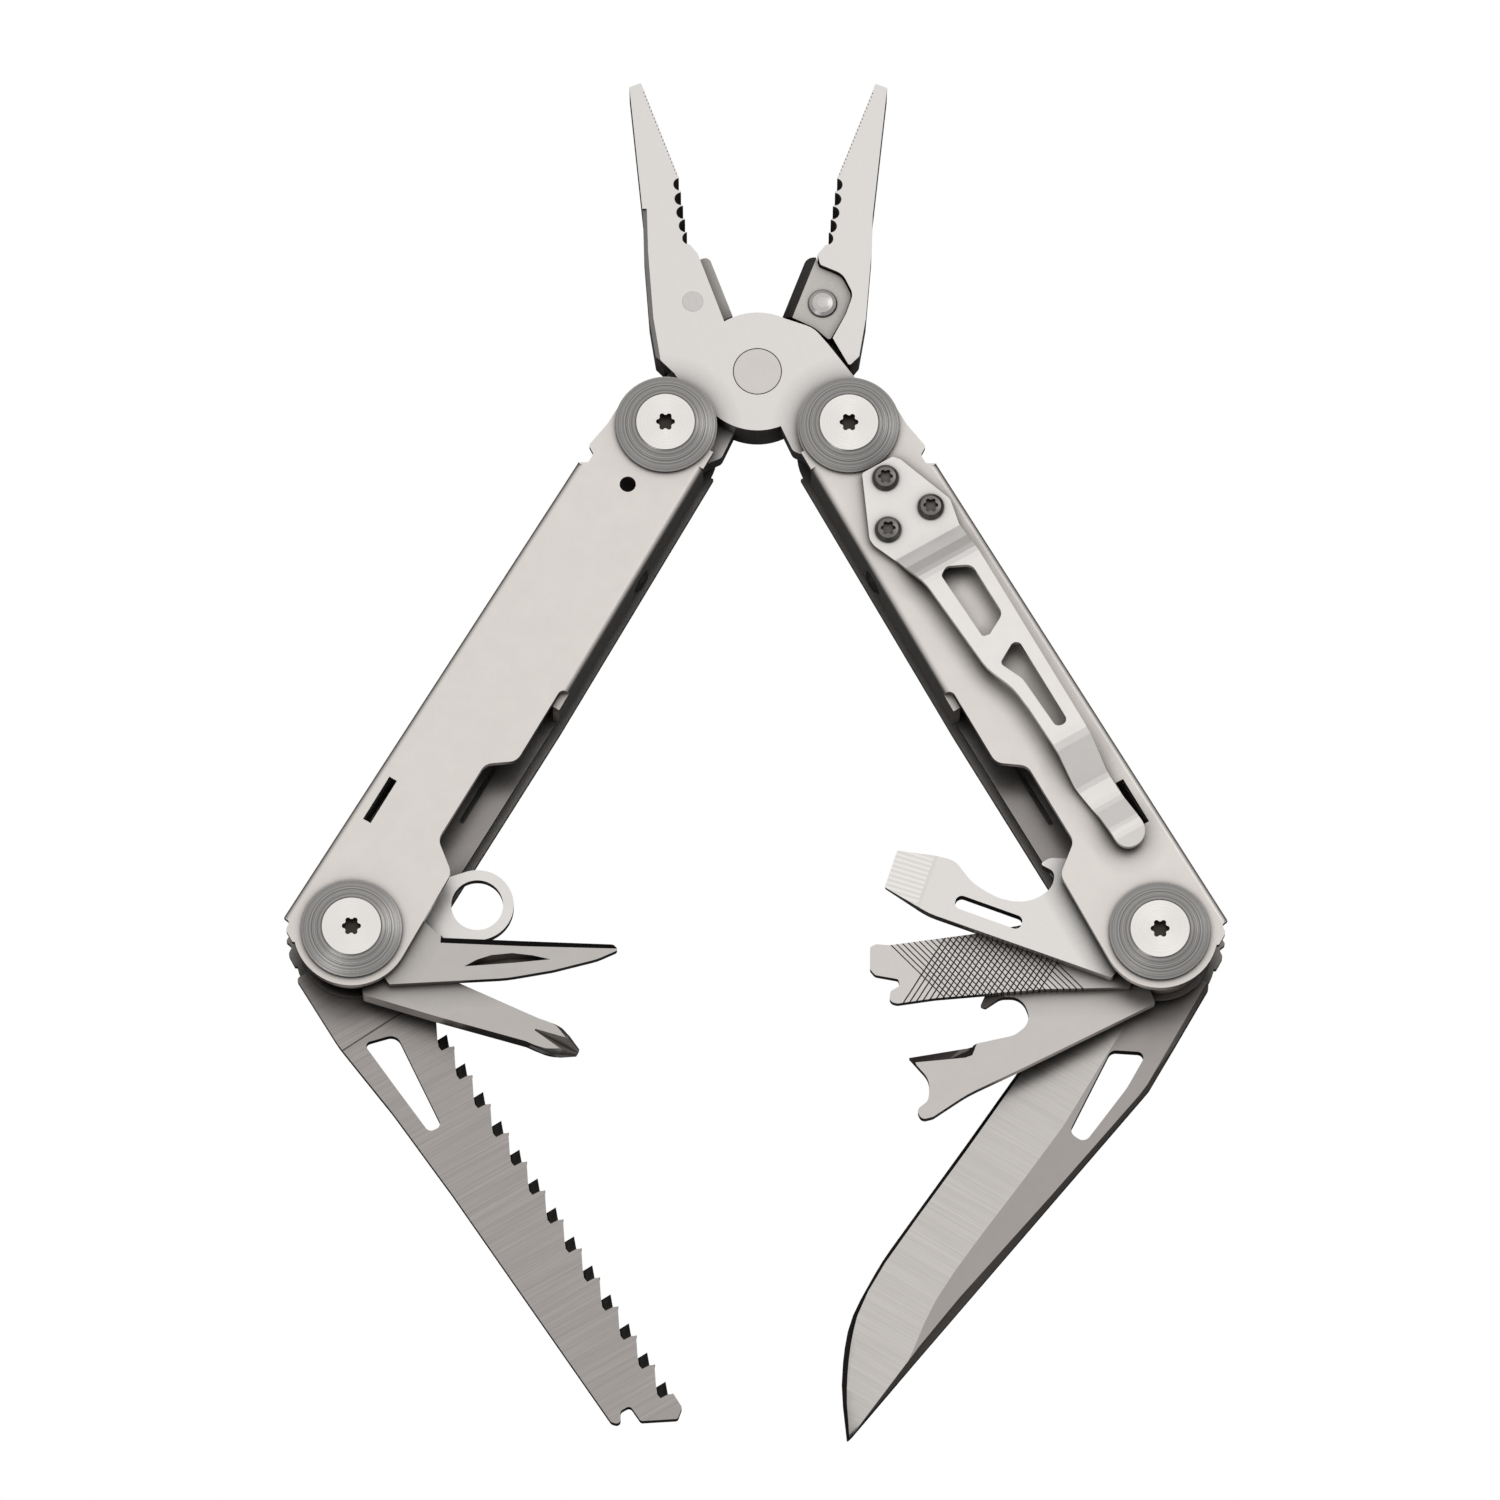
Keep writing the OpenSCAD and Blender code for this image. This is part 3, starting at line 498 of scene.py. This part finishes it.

# ---- tools redrawn with their grinds ----------------------------------------------------------
# Each is drawn about its own joint, its length along +X. An outline's points are [x, y, corner
# radius]. The paths run towards +X: a bevel starts at them, or they bound it.

# Painted shade on the knife's spine bevel, which faces away from the light
spine_shade = ground("spine_shade", place_of("right", RIGHT_TOOLS["knife_blade"]), True,
                    (0.11, 0.10, 0.095), 0.4, contrast=0.3)
# Painted shade on bevels that face away from the light: the knife's edge, the awl's top bevel and the
# saw's short teeth; it also draws the rivet's dark seam
bevel_shade_and_seam = plain_steel("bevel_shade_and_seam", (0.02, 0.019, 0.018), 0.45)
# Painted shade in the awl's nail nick and on the can opener's hook and ground bevel
nick_and_bevel_shade = plain_steel("nick_and_bevel_shade", (0.16, 0.14, 0.135), 0.4)
axle_turns = [2 * math.pi * k / AXLE_SIDES for k in range(AXLE_SIDES)]
axle_loop = [Vector((AXLE_R * math.cos(turn), AXLE_R * math.sin(turn))) for turn in axle_turns]

KNIFE_Z = (2.9, 4.8)
KNIFE_GRIND_START = 12
KNIFE_GRIND_RUN_IN = 6
KNIFE_GRIND_DEPTH = 0.6
KNIFE_GRIND_NARROWEST = 0.1
KNIFE_EDGE_SLOPE = 0.5
KNIFE_EDGE_DEPTH = 0.88
KNIFE_EDGE_START = 24
KNIFE_SPINE_SLOPE = 0.6
KNIFE_SPINE_DEPTH = 0.5
KNIFE_OUTLINE = [
    [0.2, -9.1, 0.8], [18.5, -9.75, 2], [86.8, 0, 0.1], [80, 5.3, 30], [71.5, 9.3, 20],
    [61, 9.9, 40], [40, 8.7, 60], [22, 7.8, 10], [10, 7, 4], [0, TANG_R, 0], *arc(TANG_R, 90, 270),
    [0, -TANG_R, 0],
]
KNIFE_HOLE = [[13.8, -6.6, 0.9], [16.3, -1.9, 1.2], [30.2, -3.2, 1.2], [30.4, -6, 1.2], [20, -6.9, 10]]
KNIFE_GRIND = [
    (11, -1.75), (16, -1.75), (30, -2.0), (40, -1.3), (50, -0.45), (57, 0), (62, 0.05), (66, -0.35),
    (70, -1.05), (72, -1.3), (86.2, -0.12)
]
KNIFE_SPINE = [(0.1, -8.5), (18, -9.15), (20, -8.98), (40, -5.93), (60, -2.65), (69, -1.55), (86.2, -0.2)]
KNIFE_EDGE = [
    (24, 7.4), (40, 8.15), (52, 8.9), (61, 9.35), (66, 9.2), (70, 8.6), (72, 7.95), (74, 7.2),
    (76, 6.3), (78, 5.3), (80, 4.2), (82, 2.95), (84, 1.5), (86.2, -0.05)
]


def knife_drop(x, y):
    if x < KNIFE_GRIND_START:
        return 0
    edge = along(KNIFE_EDGE, x)
    grind = along(KNIFE_GRIND, x)
    spine = along(KNIFE_SPINE, x)
    start = min(1, (x - KNIFE_GRIND_START) / KNIFE_GRIND_RUN_IN)
    if y > edge + SAME_PLACE:
        return start * min(KNIFE_EDGE_DEPTH, KNIFE_GRIND_DEPTH + KNIFE_EDGE_SLOPE * (y - edge))
    if y > grind:
        width = max(edge - grind, KNIFE_GRIND_NARROWEST)
        return start * KNIFE_GRIND_DEPTH * (y - grind) / width
    if y < spine - SAME_PLACE:
        return min(KNIFE_SPINE_DEPTH, KNIFE_SPINE_SLOPE * (spine - y))
    return 0


# Finish 2, the spine bevel, and 3, the edge bevel, are darkened as painted shade
def knife_finish(x, y):
    if y < along(KNIFE_SPINE, x):
        return 2
    if x > KNIFE_EDGE_START and y > along(KNIFE_EDGE, x):
        return 3
    return 1 if x > KNIFE_GRIND_START and y > along(KNIFE_GRIND, x) else 0


knife = ground_plate(
    "knife", "right", RIGHT_TOOLS["knife_blade"], KNIFE_Z,
    [rounded(KNIFE_OUTLINE), rounded(KNIFE_HOLE), axle_loop], [KNIFE_GRIND, KNIFE_SPINE, KNIFE_EDGE],
    knife_drop, knife_finish, [
        blasted("knife_flat", (0.42, 0.395, 0.38), 0.38, 0.3),
        ground("knife_ground", place_of("right", RIGHT_TOOLS["knife_blade"]), True, (0.63, 0.605, 0.585),
               0.33, 4.0, contrast=0.3),
        spine_shade, bevel_shade_and_seam,
    ])
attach(knife, "knife_blade")
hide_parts("knife_blade")

AWL_Z = (12.75, 14.15)
AWL_GRIND_START = 13
AWL_GRIND_SLOPE = 0.75
AWL_GRIND_DEPTH = 1.1
AWL_NICK = (16.7, 29.2)
AWL_NICK_DEPTH = 0.55
AWL_NICK_NARROWEST = 0.05
AWL_OUTLINE = [
    [4.5, -5.62, 0], [6, -7.6, 0.3], [23, -5.6, 20], [29.6, -4, 10], [36, -1.9, 8], [39, -0.3, 0.4],
    [38.2, 0.65, 0.6], [13.4, 0.15, 0.4], [12.3, 0.6, 0.5], [9, 3.6, 2], [0, TANG_R, 0],
    *arc(TANG_R, 90, 308.7)
]
AWL_STRIP = [(13, -0.85), (25, -0.62), (38.7, -0.12)]
AWL_NICK_LOW = [(16.7, -4.2), (20, -3.75), (24, -3.2), (27, -2.7), (29.2, -2.35)]
AWL_NICK_HIGH = [(16.7, -4.2), (18.5, -3.05), (20.5, -2.25), (23.5, -1.75), (26.5, -1.9), (29.2, -2.35)]
AWL_NICK_MIDDLE = [(16.7, -4.2), (19, -3.3), (23.5, -2.35), (26.5, -2.2), (29.2, -2.35)]


def in_nick(x, y):
    inside = AWL_NICK[0] < x < AWL_NICK[1]
    return inside and along(AWL_NICK_LOW, x) < y < along(AWL_NICK_HIGH, x)


def awl_drop(x, y):
    if in_nick(x, y):
        low, middle, high = (along(path, x) for path in (AWL_NICK_LOW, AWL_NICK_MIDDLE, AWL_NICK_HIGH))
        rise = (y - low) / max(middle - low, AWL_NICK_NARROWEST)
        fall = (high - y) / max(high - middle, AWL_NICK_NARROWEST)
        return AWL_NICK_DEPTH * max(0, min(1, rise, fall))
    if x > AWL_GRIND_START:
        return max(0, min(AWL_GRIND_DEPTH, AWL_GRIND_SLOPE * (y - along(AWL_STRIP, x))))
    return 0


# Finish 1, the nail nick, and 2, the top bevel, are darkened as painted shade
def awl_finish(x, y):
    if in_nick(x, y):
        return 1
    return 2 if x > AWL_GRIND_START and y > along(AWL_STRIP, x) else 0


awl = ground_plate(
    "awl_point", "left", LEFT_TOOLS["awl"], AWL_Z, [rounded(AWL_OUTLINE), axle_loop],
    [AWL_STRIP, AWL_NICK_LOW, AWL_NICK_HIGH, AWL_NICK_MIDDLE], awl_drop, awl_finish,
    [blasted("awl_steel", (0.58, 0.555, 0.535), 0.36, 0.25), nick_and_bevel_shade, bevel_shade_and_seam], both_faces=False)
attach(awl, "awl")
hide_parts("awl")

CAN_Z = (7.5, 9.05)
CAN_GRIND_START = 31.2
CAN_GRIND_SLOPE = 0.85
CAN_GRIND_DEPTH = 0.9
HOOK_START = 23.8
HOOK_LOW = 1
HOOK_SLOPE = 0.25
CAN_OUTLINE = [
    [4.2, -7.9, 0.4], [26, -8.7, 0], [35, -8.9, 20], [41, -9.9, 0.5], [42.8, -9.6, 0.9],
    [42.7, -7.9, 0.8], [40.6, -7.4, 1.5], [39.1, -4.6, 3], [40.4, -0.1, 0.1], [31.2, -2.6, 0.3],
    [30.6, -2.5, 0.3], [25, -3.7, 3], [21.8, -2.9, 2.5], [21.6, 1.2, 2.5], [24.4, 2.4, 2],
    [27, 2, 0.3], [27.6, 2.6, 0.3], [26.2, 3.8, 0.6], [18, 4.6, 10], [8, 5.4, 4], [0, TANG_R, 0],
    *arc(TANG_R, 90, 305), [4.13, -5.9, 0]
]
CAN_STRIP = [(CAN_GRIND_START, -3.2), (31.9, -3.85), (33, -3.75), (39.9, -1.35)]
HOOK_PATH = [(HOOK_START, 6), (HOOK_START + 0.1, 6)]


def on_hook(x, y):
    return x > HOOK_START and y > HOOK_LOW


def can_drop(x, y):
    if on_hook(x, y):
        return HOOK_SLOPE * (x - HOOK_START)
    if x > CAN_GRIND_START:
        return max(0, min(CAN_GRIND_DEPTH, CAN_GRIND_SLOPE * (y - along(CAN_STRIP, x))))
    return 0


# Finish 1, the hook and the ground bevel, is darkened as painted shade
def can_finish(x, y):
    ground_down = x > CAN_GRIND_START and y > along(CAN_STRIP, x)
    return 1 if on_hook(x, y) or ground_down else 0


can_opener = ground_plate(
    "can_opener_blade", "right", RIGHT_TOOLS["can_opener"], CAN_Z, [rounded(CAN_OUTLINE), axle_loop],
    [HOOK_PATH, CAN_STRIP], can_drop, can_finish,
    [blasted("can_steel", (0.64, 0.61, 0.59), 0.36, 0.25), nick_and_bevel_shade], both_faces=False)
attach(can_opener, "can_opener")
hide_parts("can_opener")

# The saw's short teeth, whose two ground faces meet in a crease and are painted dark as shade: x, y and
# the drop below the blade
SHORT_TOOTH = [
    (2.85, -1.4, 0.75), (4, -1.85, 0.75), (4.75, -1.75, 0.25), (4.8, -0.5, 0.75), (2.85, 0.2, 0.45)
]
SHORT_TOOTH_FACES = ((0, 1, 2, 4), (2, 3, 4))
SHORT_TOOTH_LIFT = 0.1
SHORT_TEETH = 13
SAW_PITCH = (5.12, 0.118)
SAW_FIRST = (15.48, 5.1)
SAW_Z = (4.9, 6.4)


def short_teeth():
    points = []
    faces = []
    count = len(SHORT_TOOTH)
    for i in range(SHORT_TEETH):
        x0 = SAW_FIRST[0] + SAW_PITCH[0] * i
        y0 = SAW_FIRST[1] + SAW_PITCH[1] * i
        first = len(points)
        points += [((x0 + x) * MM, (y0 + y) * MM, (SAW_Z[1] - drop) * MM) for x, y, drop in SHORT_TOOTH]
        rear = SAW_Z[0] + SHORT_TOOTH_LIFT
        points += [((x0 + x) * MM, (y0 + y) * MM, rear * MM) for x, y, _ in SHORT_TOOTH]
        faces += [[first + k for k in face] for face in SHORT_TOOTH_FACES]
        faces.append([first + count + k for k in reversed(range(count))])
        faces += [[first + k, first + count + k, first + count + (k + 1) % count, first + (k + 1) % count]
                  for k in range(count)]
    mesh = bpy.data.meshes.new("short_teeth")
    mesh.from_pydata(points, [], faces)
    return finish_piece("short_teeth", mesh, "left", LEFT_TOOLS["saw_blade"], [bevel_shade_and_seam])


teeth = short_teeth()
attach(teeth, "saw_blade")


# ---- painted shade in sockets, and a dark seam, that lie on the CAD faces ------------------------

SOCKET_FLOOR_Z = 15.97
SOCKET_R = 1.35
SOCKET_SIDES = 24
JAW_FACE_Z = 14.17
RIVET_SEAM_R = 3.56
SEAM_WIDTH = 0.11
SEAM_SIDES = 64


def socket_floor(name, body, x, y, z, radius):
    """A near-black disc painted as the shade at the bottom of a bolt's six-lobed socket."""
    mesh = bpy.data.meshes.new(name)
    disc = bmesh.new()
    bmesh.ops.create_circle(disc, cap_ends=True, segments=SOCKET_SIDES, radius=radius * MM)
    disc.to_mesh(mesh)
    disc.free()
    mesh.materials.append(socket_shade)
    piece = link_piece(name, mesh)
    piece.location = (x * MM, y * MM, z * MM)
    bpy.context.view_layer.update()
    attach(piece, body)


# Painted shade for the socket floors
socket_shade = plain_steel("socket_shade", (0.06, 0.055, 0.05), 0.35)
for side in ("left", "right"):
    for level, reach in (("upper", HANDLE_SPAN), ("lower", 0)):
        x, y, _ = place_of(side, HANDLE_ANGLE, reach)
        name = f"{side}_{level}_socket"
        socket_floor(name, f"{side}_handle", x, y, SOCKET_FLOOR_Z, SOCKET_R)


def seam(name, body, x, y, z, radius):
    """The dark line round a flush round end."""
    points = []
    faces = []
    for i in range(SEAM_SIDES):
        turn = 2 * math.pi * i / SEAM_SIDES
        for r in (radius - SEAM_WIDTH / 2, radius + SEAM_WIDTH / 2):
            points.append(((x + r * math.cos(turn)) * MM, (y + r * math.sin(turn)) * MM, z * MM))
        here = 2 * i
        after = (here + 2) % (2 * SEAM_SIDES)
        faces.append((here, here + 1, after + 1, after))
    mesh = bpy.data.meshes.new(name)
    mesh.from_pydata(points, [], faces)
    mesh.materials.append(bevel_shade_and_seam)
    piece = link_piece(name, mesh)
    bpy.context.view_layer.update()
    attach(piece, body)


seam("rivet_seam", "front_jaw", 0, 0, JAW_FACE_Z, RIVET_SEAM_R)

# ---- camera, world and lights -------------------------------------------------------------------

CAMERA_TARGET = Vector((-0.00092, -0.05841, 0.01345))
CAMERA_DISTANCE = 2.045
CAMERA_ELEVATION = 72.68
CAMERA_ROLL = 0.179
CAMERA_LENS = 334.8
SENSOR_WIDTH = 36
# Where the studio's bright end lies: the shares of straight up and of +Y
STUDIO_UP = 0.93
STUDIO_BACK = 0.36
# From the studio's dark end to its bright end: place, brightness
STUDIO_STOPS = (
    (0.0, 0.16), (0.2, 0.1), (0.42, 0.04), (0.5, 0.12), (0.6, 0.28), (0.8, 0.46), (0.9, 0.66),
    (0.96, 0.84), (1.0, 0.9)
)
FLOOR_REACH = 1.5
FLOOR_Z = -0.0005
# Name, place in metres, side in metres and power in watts
LIGHTS = (("key", (0.5, 0.35, 0.9), 0.5, 0.6), ("fill", (-0.55, -0.75, 0.8), 0.6, 1.2))


def add_camera():
    elevation = math.radians(CAMERA_ELEVATION)
    roll = math.radians(CAMERA_ROLL)
    forward = Vector((0, math.cos(elevation), -math.sin(elevation)))
    level = Vector((1, 0, 0))
    over = level.cross(forward)
    right = math.cos(roll) * level + math.sin(roll) * over
    up = -math.sin(roll) * level + math.cos(roll) * over
    data = bpy.data.cameras.new("camera")
    data.lens = CAMERA_LENS
    data.sensor_width = SENSOR_WIDTH
    data.clip_end = 20
    camera = bpy.data.objects.new("camera", data)
    axes = Matrix((right, up, -forward)).transposed().to_4x4()
    camera.matrix_world = Matrix.Translation(CAMERA_TARGET - forward * CAMERA_DISTANCE) @ axes
    bpy.context.scene.collection.objects.link(camera)
    bpy.context.scene.camera = camera


def add_world():
    """Plain white for the camera. The steel sees a studio that is bright overhead, falls off to its
    darkest just below the horizon, and is dim beneath."""
    world = bpy.data.worlds.new("studio")
    bpy.context.scene.world = world
    world.use_nodes = True
    tree = world.node_tree
    tree.nodes.clear()
    coordinates = tree.nodes.new("ShaderNodeTexCoord")
    parts = tree.nodes.new("ShaderNodeSeparateXYZ")
    tree.links.new(coordinates.outputs["Generated"], parts.inputs[0])

    def compute(operation, *values):
        node = tree.nodes.new("ShaderNodeMath")
        node.operation = operation
        for socket, value in zip(node.inputs, values):
            if isinstance(value, bpy.types.NodeSocket):
                tree.links.new(value, socket)
            else:
                socket.default_value = value
        return node.outputs[0]

    back = compute("MULTIPLY", parts.outputs[1], STUDIO_BACK)
    facing = compute("MULTIPLY_ADD", parts.outputs[2], STUDIO_UP, back)
    ramp = tree.nodes.new("ShaderNodeValToRGB")
    scale = tree.nodes.new("ShaderNodeMapRange")
    scale.inputs["From Min"].default_value = -1
    scale.inputs["From Max"].default_value = 1
    elements = ramp.color_ramp.elements
    while len(elements) < len(STUDIO_STOPS):
        elements.new(0.5)
    for element, (position, level) in zip(elements, STUDIO_STOPS):
        element.position = position
        element.color = (level, level * 0.99, level * 0.98, 1)
    studio = tree.nodes.new("ShaderNodeBackground")
    white = tree.nodes.new("ShaderNodeBackground")
    white.inputs[0].default_value = (1, 1, 1, 1)
    path = tree.nodes.new("ShaderNodeLightPath")
    choose = tree.nodes.new("ShaderNodeMixShader")
    output = tree.nodes.new("ShaderNodeOutputWorld")
    link = tree.links.new
    link(facing, scale.inputs["Value"])
    link(scale.outputs[0], ramp.inputs[0])
    link(ramp.outputs[0], studio.inputs[0])
    link(path.outputs["Is Camera Ray"], choose.inputs[0])
    link(studio.outputs[0], choose.inputs[1])
    link(white.outputs[0], choose.inputs[2])
    link(choose.outputs[0], output.inputs[0])


def add_floor():
    """A floor that the camera sees as plain white, and looks through from below. The steel sees it
    dark, so that its edges stand out."""
    mesh = bpy.data.meshes.new("floor")
    corners = [(x * FLOOR_REACH, y * FLOOR_REACH, 0) for x, y in ((-1, -1), (1, -1), (1, 1), (-1, 1))]
    mesh.from_pydata(corners, [], [(0, 1, 2, 3)])
    graph = Graph("floor_paint")
    pale = graph.add("ShaderNodeEmission", {"Color": (1, 1, 1, 1), "Strength": 1.0})
    dark = graph.add("ShaderNodeBsdfDiffuse", {"Color": (0.03, 0.03, 0.03, 1)})
    seen = graph.add("ShaderNodeLightPath").outputs["Is Camera Ray"]
    above = graph.add("ShaderNodeMixShader", {0: seen, 1: dark.outputs[0], 2: pale.outputs[0]})
    clear = graph.add("ShaderNodeBsdfTransparent")
    below = graph.add("ShaderNodeNewGeometry").outputs["Backfacing"]
    both = graph.add("ShaderNodeMixShader", {0: below, 1: above.outputs[0], 2: clear.outputs[0]})
    graph.add("ShaderNodeOutputMaterial", {"Surface": both.outputs[0]})
    mesh.materials.append(graph.material)
    floor = link_piece("floor", mesh)
    floor.location.z = FLOOR_Z


def add_light(name, place, size, power):
    data = bpy.data.lights.new(name, "AREA")
    data.size = size
    data.energy = power
    light = bpy.data.objects.new(name, data)
    light.location = place
    aim = CAMERA_TARGET - Vector(place)
    light.rotation_euler = aim.to_track_quat("-Z", "Y").to_euler()
    bpy.context.scene.collection.objects.link(light)


add_camera()
add_world()
add_floor()
for light in LIGHTS:
    add_light(*light)

bpy.context.scene.view_settings.view_transform = "Standard"
